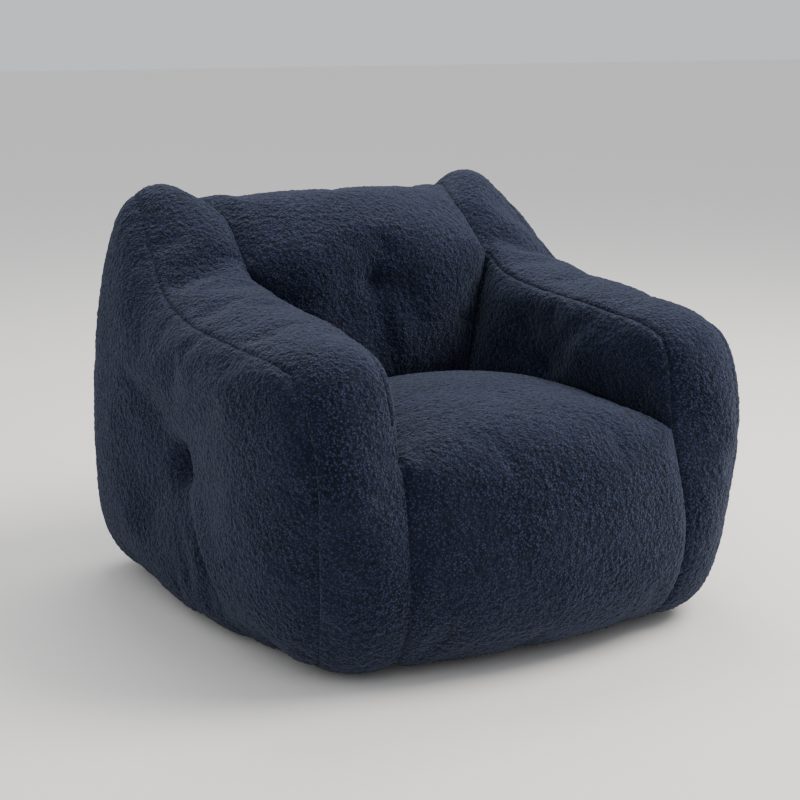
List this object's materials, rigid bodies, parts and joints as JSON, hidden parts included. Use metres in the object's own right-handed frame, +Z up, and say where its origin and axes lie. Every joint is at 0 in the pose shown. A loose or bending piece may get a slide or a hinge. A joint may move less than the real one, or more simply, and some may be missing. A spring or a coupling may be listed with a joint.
{
  "type": "bean bag chair",
  "caption": "Low armchair-shaped bean bag with wide puffed arms, a crowned seat, a tufted back and a zipped filling opening.",
  "frame": {"origin": "on the floor, under the middle of the chair's bounding box", "axes": "+X to the right of someone facing the chair, +Y towards the back, +Z up; the seat faces -Y"},
  "size_m": [0.95, 0.9999, 0.7202],
  "materials": {
    "cover_cloth": "teddy pile, matte",
    "base_cloth": "plain woven, matte",
    "lining_cloth": "non-woven, matte",
    "foam": "shredded foam, matte",
    "cord": "twisted cord, matte",
    "washer": "moulded, satin",
    "zip_tape": "woven tape, matte",
    "zip_coil": "nylon coil, satin",
    "zip_metal": "dark enamel, satin"
  },
  "bodies": {
    "chair": {"seat_front_panel": "cover_cloth", "inside_back_panel": "cover_cloth", "inside_arm_panel_left": "cover_cloth", "inside_arm_panel_right": "cover_cloth", "arm_strip_left": "cover_cloth", "arm_strip_right": "cover_cloth", "outside_panel_left": "cover_cloth", "outside_panel_right": "cover_cloth", "outside_back_upper_panel": "cover_cloth", "outside_back_lower_panel": "cover_cloth", "base_panel": "base_cloth", "seat_liner": "lining_cloth", "back_liner": "lining_cloth", "arm_liner_left": "lining_cloth", "arm_liner_right": "lining_cloth", "seat_fill": "foam", "back_fill": "foam", "arm_fill_left": "foam", "arm_fill_right": "foam", "tuft_cord_left": "cord", "tuft_cord_right": "cord", "tuft_cord_back": "cord", "tuft_washers_left": "washer", "tuft_washers_right": "washer", "tuft_washers_back": "washer", "zip_tape_upper": "zip_tape", "zip_tape_lower": "zip_tape", "zip_coil_upper": "zip_coil", "zip_coil_lower": "zip_coil", "zip_stops": "zip_metal"},
    "zip_slider": {"zip_slider": "zip_metal"}
  },
  "joints": [
    {"name": "zip_travel", "type": "slide", "parent": "chair", "child": "zip_slider", "axis": [1, 0, 0], "range_m": [0, 0.376]}
  ]
}
